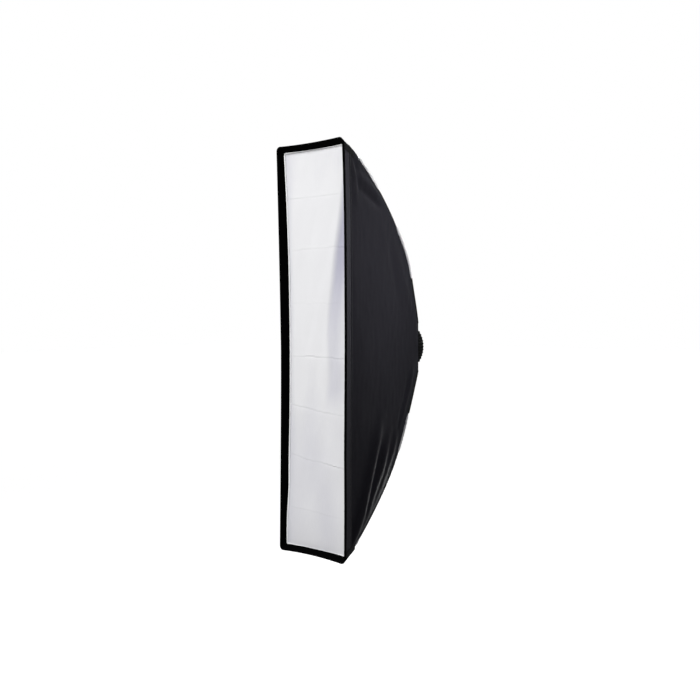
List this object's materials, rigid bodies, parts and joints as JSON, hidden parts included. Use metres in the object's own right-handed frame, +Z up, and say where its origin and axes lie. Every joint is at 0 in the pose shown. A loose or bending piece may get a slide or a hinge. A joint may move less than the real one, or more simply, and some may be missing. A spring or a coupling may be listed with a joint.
{
  "type": "studio softbox",
  "caption": "Tall narrow strip softbox with a recessed white front diffuser, a black tapering fabric shell on folding bowed rods, and a turning ring with a bayonet insert.",
  "frame": {"origin": "centre of the bayonet insert's bore, on the face that seats against the light head", "axes": "+Z up along the long side of the box, +Y towards the light head, the white front faces -Y, +X to the right as seen from the front"},
  "size_m": [0.3, 0.534, 1.4],
  "materials": {
    "black_fabric": "matte woven nylon, silver coated inside",
    "elastic_band": "ribbed elastic",
    "hook_tape": "hook tape",
    "white_diffusion_cloth": "fine white diffusion cloth",
    "white_hem_tape": "sewn hem",
    "spring_steel": "drawn rod",
    "black_rubber": "moulded cap",
    "holder_metal": "satin black",
    "ring_casting": "cast, powder coated black",
    "insert_aluminium": "turned and anodised",
    "retainer_steel": "pressed plate",
    "bright_steel": "bright plated",
    "black_plastic": "moulded, fluted"
  },
  "bodies": {
    "insert": {"bayonet_insert": "insert_aluminium"},
    "shell": {"corner_pocket_bottom_left": "black_fabric", "corner_pocket_bottom_right": "black_fabric", "corner_pocket_top_left": "black_fabric", "corner_pocket_top_right": "black_fabric", "end_panel_bottom": "black_fabric", "end_panel_top": "black_fabric", "front_lip_bottom": "black_fabric", "front_lip_left": "black_fabric", "front_lip_right": "black_fabric", "front_lip_top": "black_fabric", "hook_tape_bottom": "hook_tape", "hook_tape_left": "hook_tape", "hook_tape_right": "hook_tape", "hook_tape_top": "hook_tape", "neck_collar": "elastic_band", "neck_cover_bottom": "black_fabric", "neck_cover_top": "black_fabric", "neck_panel": "black_fabric", "rod_sleeve_bottom_left": "black_fabric", "rod_sleeve_bottom_right": "black_fabric", "rod_sleeve_top_left": "black_fabric", "rod_sleeve_top_right": "black_fabric", "side_panel_left": "black_fabric", "side_panel_right": "black_fabric", "front_diffuser": "white_diffusion_cloth", "diffuser_hem": "white_hem_tape", "inner_baffle": "white_diffusion_cloth", "baffle_straps": "elastic_band", "speed_ring": "ring_casting", "retaining_ring": "retainer_steel", "retaining_screws": "bright_steel", "hinge_pins": "bright_steel"},
    "arm_top_right": {"rod_holder_top_right": "holder_metal", "rod_top_right": "spring_steel", "rod_cap_top_right": "black_rubber"},
    "arm_top_left": {"rod_holder_top_left": "holder_metal", "rod_top_left": "spring_steel", "rod_cap_top_left": "black_rubber"},
    "arm_bottom_right": {"rod_holder_bottom_right": "holder_metal", "rod_bottom_right": "spring_steel", "rod_cap_bottom_right": "black_rubber"},
    "arm_bottom_left": {"rod_holder_bottom_left": "holder_metal", "rod_bottom_left": "spring_steel", "rod_cap_bottom_left": "black_rubber"},
    "lock_slider": {"lock_stud": "bright_steel"},
    "lock_grip": {"lock_knob": "black_plastic"}
  },
  "joints": [
    {"name": "ring_turn", "type": "hinge", "parent": "insert", "child": "shell", "pos_m": [0, 0, 0], "axis": [0, 1, 0], "continuous": true},
    {"name": "fold_top_right", "type": "hinge", "parent": "shell", "child": "arm_top_right", "pos_m": [0.0804, -0.05, 0.06], "axis": [1, 0, 0], "range_deg": [0, 57], "deforming": ["corner_pocket_bottom_left", "corner_pocket_bottom_right", "corner_pocket_top_left", "corner_pocket_top_right", "end_panel_bottom", "end_panel_top", "front_lip_bottom", "front_lip_left", "front_lip_right", "front_lip_top", "hook_tape_bottom", "hook_tape_left", "hook_tape_right", "hook_tape_top", "rod_sleeve_bottom_left", "rod_sleeve_bottom_right", "rod_sleeve_top_left", "rod_sleeve_top_right", "side_panel_left", "side_panel_right", "front_diffuser", "diffuser_hem", "inner_baffle", "baffle_straps"]},
    {"name": "fold_top_left", "type": "hinge", "parent": "shell", "child": "arm_top_left", "pos_m": [-0.0804, -0.05, 0.06], "axis": [1, 0, 0], "range_deg": [0, 57]},
    {"name": "fold_bottom_right", "type": "hinge", "parent": "shell", "child": "arm_bottom_right", "pos_m": [0.0804, -0.05, -0.06], "axis": [-1, 0, 0], "range_deg": [0, 57]},
    {"name": "fold_bottom_left", "type": "hinge", "parent": "shell", "child": "arm_bottom_left", "pos_m": [-0.0804, -0.05, -0.06], "axis": [-1, 0, 0], "range_deg": [0, 57]},
    {"name": "lock_turn", "type": "hinge", "parent": "lock_slider", "child": "lock_grip", "pos_m": [-0.09, -0.0105, 0], "axis": [-1, 0, 0], "range_deg": [0, 900]},
    {"name": "lock_slide", "type": "slide", "parent": "shell", "child": "lock_slider", "axis": [-1, 0, 0], "range_m": [0, 0.0025]}
  ],
  "couplings": [
    {"joint": "fold_top_left", "follows": "fold_top_right", "ratio": 1},
    {"joint": "fold_bottom_right", "follows": "fold_top_right", "ratio": 1},
    {"joint": "fold_bottom_left", "follows": "fold_top_right", "ratio": 1},
    {"joint": "lock_turn", "follows": "lock_slide", "rad_per_m": 6283.2}
  ]
}
